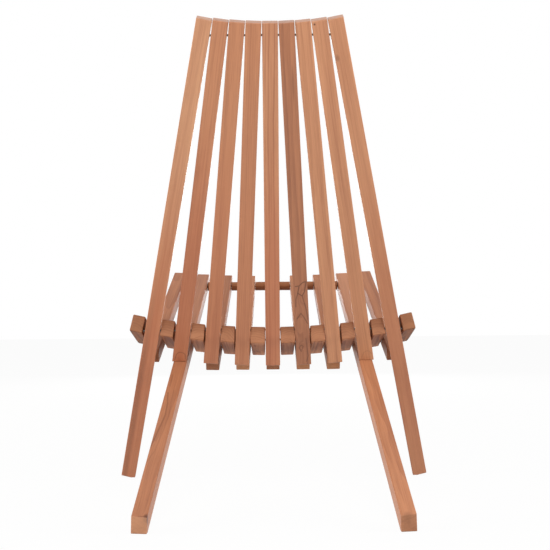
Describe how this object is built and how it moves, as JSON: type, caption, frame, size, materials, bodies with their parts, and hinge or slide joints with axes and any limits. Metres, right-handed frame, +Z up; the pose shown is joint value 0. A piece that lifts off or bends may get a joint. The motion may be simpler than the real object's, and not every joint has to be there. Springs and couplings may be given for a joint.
{
  "type": "folding lounge chair",
  "caption": "Folding slatted teak lounge chair: a fan of back sticks and a fan of seat sticks joined by link blocks on hinge rods, the longest sticks forming the legs.",
  "frame": {"origin": "middle of the chair's footprint on the ground, centred in X and Y on the bounding box", "axes": "+Z up, the sitter faces -Y, +X to the sitter's left"},
  "size_m": [0.6236, 0.815, 0.8661],
  "materials": {
    "front_leg_left": "oiled teak, warm orange brown, straight fine grain",
    "back_stick_1": "oiled teak, warm orange brown, straight fine grain",
    "back_stick_2": "oiled teak, warm orange brown, straight fine grain",
    "back_stick_3": "oiled teak, warm orange brown, straight fine grain",
    "back_stick_4": "oiled teak, warm orange brown, straight fine grain",
    "back_stick_5": "oiled teak, warm orange brown, straight fine grain",
    "back_stick_6": "oiled teak, warm orange brown, straight fine grain",
    "back_stick_7": "oiled teak, warm orange brown, straight fine grain",
    "front_leg_right": "oiled teak, warm orange brown, straight fine grain",
    "back_hinge_rod": "galvanised steel rod, dull",
    "top_rod": "galvanised steel rod, dull",
    "hinge_block_1": "oiled teak, warm orange brown, straight fine grain",
    "hinge_block_2": "oiled teak, warm orange brown, straight fine grain",
    "hinge_block_3": "oiled teak, warm orange brown, straight fine grain",
    "hinge_block_4": "oiled teak, warm orange brown, straight fine grain",
    "hinge_block_5": "oiled teak, warm orange brown, straight fine grain",
    "hinge_block_6": "oiled teak, warm orange brown, straight fine grain",
    "hinge_block_7": "oiled teak, warm orange brown, straight fine grain",
    "hinge_block_8": "oiled teak, warm orange brown, straight fine grain",
    "hinge_block_9": "oiled teak, warm orange brown, straight fine grain",
    "hinge_block_10": "oiled teak, warm orange brown, straight fine grain",
    "seat_hinge_rod": "galvanised steel rod, dull",
    "seat_stick_1": "oiled teak, warm orange brown, straight fine grain",
    "rear_leg_left": "oiled teak, warm orange brown, straight fine grain",
    "seat_stick_2": "oiled teak, warm orange brown, straight fine grain",
    "seat_stick_3": "oiled teak, warm orange brown, straight fine grain",
    "seat_stick_4": "oiled teak, warm orange brown, straight fine grain",
    "seat_stick_5": "oiled teak, warm orange brown, straight fine grain",
    "seat_stick_6": "oiled teak, warm orange brown, straight fine grain",
    "rear_leg_right": "oiled teak, warm orange brown, straight fine grain",
    "seat_stick_7": "oiled teak, warm orange brown, straight fine grain",
    "front_spacer_1": "oiled teak, warm orange brown, straight fine grain",
    "front_spacer_2": "oiled teak, warm orange brown, straight fine grain",
    "front_spacer_3": "oiled teak, warm orange brown, straight fine grain",
    "front_spacer_4": "oiled teak, warm orange brown, straight fine grain",
    "front_spacer_5": "oiled teak, warm orange brown, straight fine grain",
    "front_spacer_6": "oiled teak, warm orange brown, straight fine grain",
    "front_spacer_7": "oiled teak, warm orange brown, straight fine grain",
    "front_spacer_8": "oiled teak, warm orange brown, straight fine grain",
    "front_rod": "galvanised steel rod, dull"
  },
  "bodies": {
    "back_comb": {"front_leg_left": "front_leg_left", "back_stick_1": "back_stick_1", "back_stick_2": "back_stick_2", "back_stick_3": "back_stick_3", "back_stick_4": "back_stick_4", "back_stick_5": "back_stick_5", "back_stick_6": "back_stick_6", "back_stick_7": "back_stick_7", "front_leg_right": "front_leg_right", "back_hinge_rod": "back_hinge_rod", "top_rod": "top_rod"},
    "link_blocks": {"hinge_block_1": "hinge_block_1", "hinge_block_2": "hinge_block_2", "hinge_block_3": "hinge_block_3", "hinge_block_4": "hinge_block_4", "hinge_block_5": "hinge_block_5", "hinge_block_6": "hinge_block_6", "hinge_block_7": "hinge_block_7", "hinge_block_8": "hinge_block_8", "hinge_block_9": "hinge_block_9", "hinge_block_10": "hinge_block_10", "seat_hinge_rod": "seat_hinge_rod"},
    "seat_comb": {"seat_stick_1": "seat_stick_1", "rear_leg_left": "rear_leg_left", "seat_stick_2": "seat_stick_2", "seat_stick_3": "seat_stick_3", "seat_stick_4": "seat_stick_4", "seat_stick_5": "seat_stick_5", "seat_stick_6": "seat_stick_6", "rear_leg_right": "rear_leg_right", "seat_stick_7": "seat_stick_7", "front_spacer_1": "front_spacer_1", "front_spacer_2": "front_spacer_2", "front_spacer_3": "front_spacer_3", "front_spacer_4": "front_spacer_4", "front_spacer_5": "front_spacer_5", "front_spacer_6": "front_spacer_6", "front_spacer_7": "front_spacer_7", "front_spacer_8": "front_spacer_8", "front_rod": "front_rod"}
  },
  "joints": [
    {"name": "back_hinge", "type": "hinge", "parent": "back_comb", "child": "link_blocks", "pos_m": [0, -0.02623, 0.30254], "axis": [1, 0, 0], "range_deg": [0, 15]},
    {"name": "seat_hinge", "type": "hinge", "parent": "link_blocks", "child": "seat_comb", "pos_m": [0, -0.13583, 0.27764], "axis": [-1, 0, 0], "range_deg": [0, 100]}
  ],
  "couplings": [
    {"joint": "back_hinge", "follows": "seat_hinge", "ratio": 0.15}
  ]
}
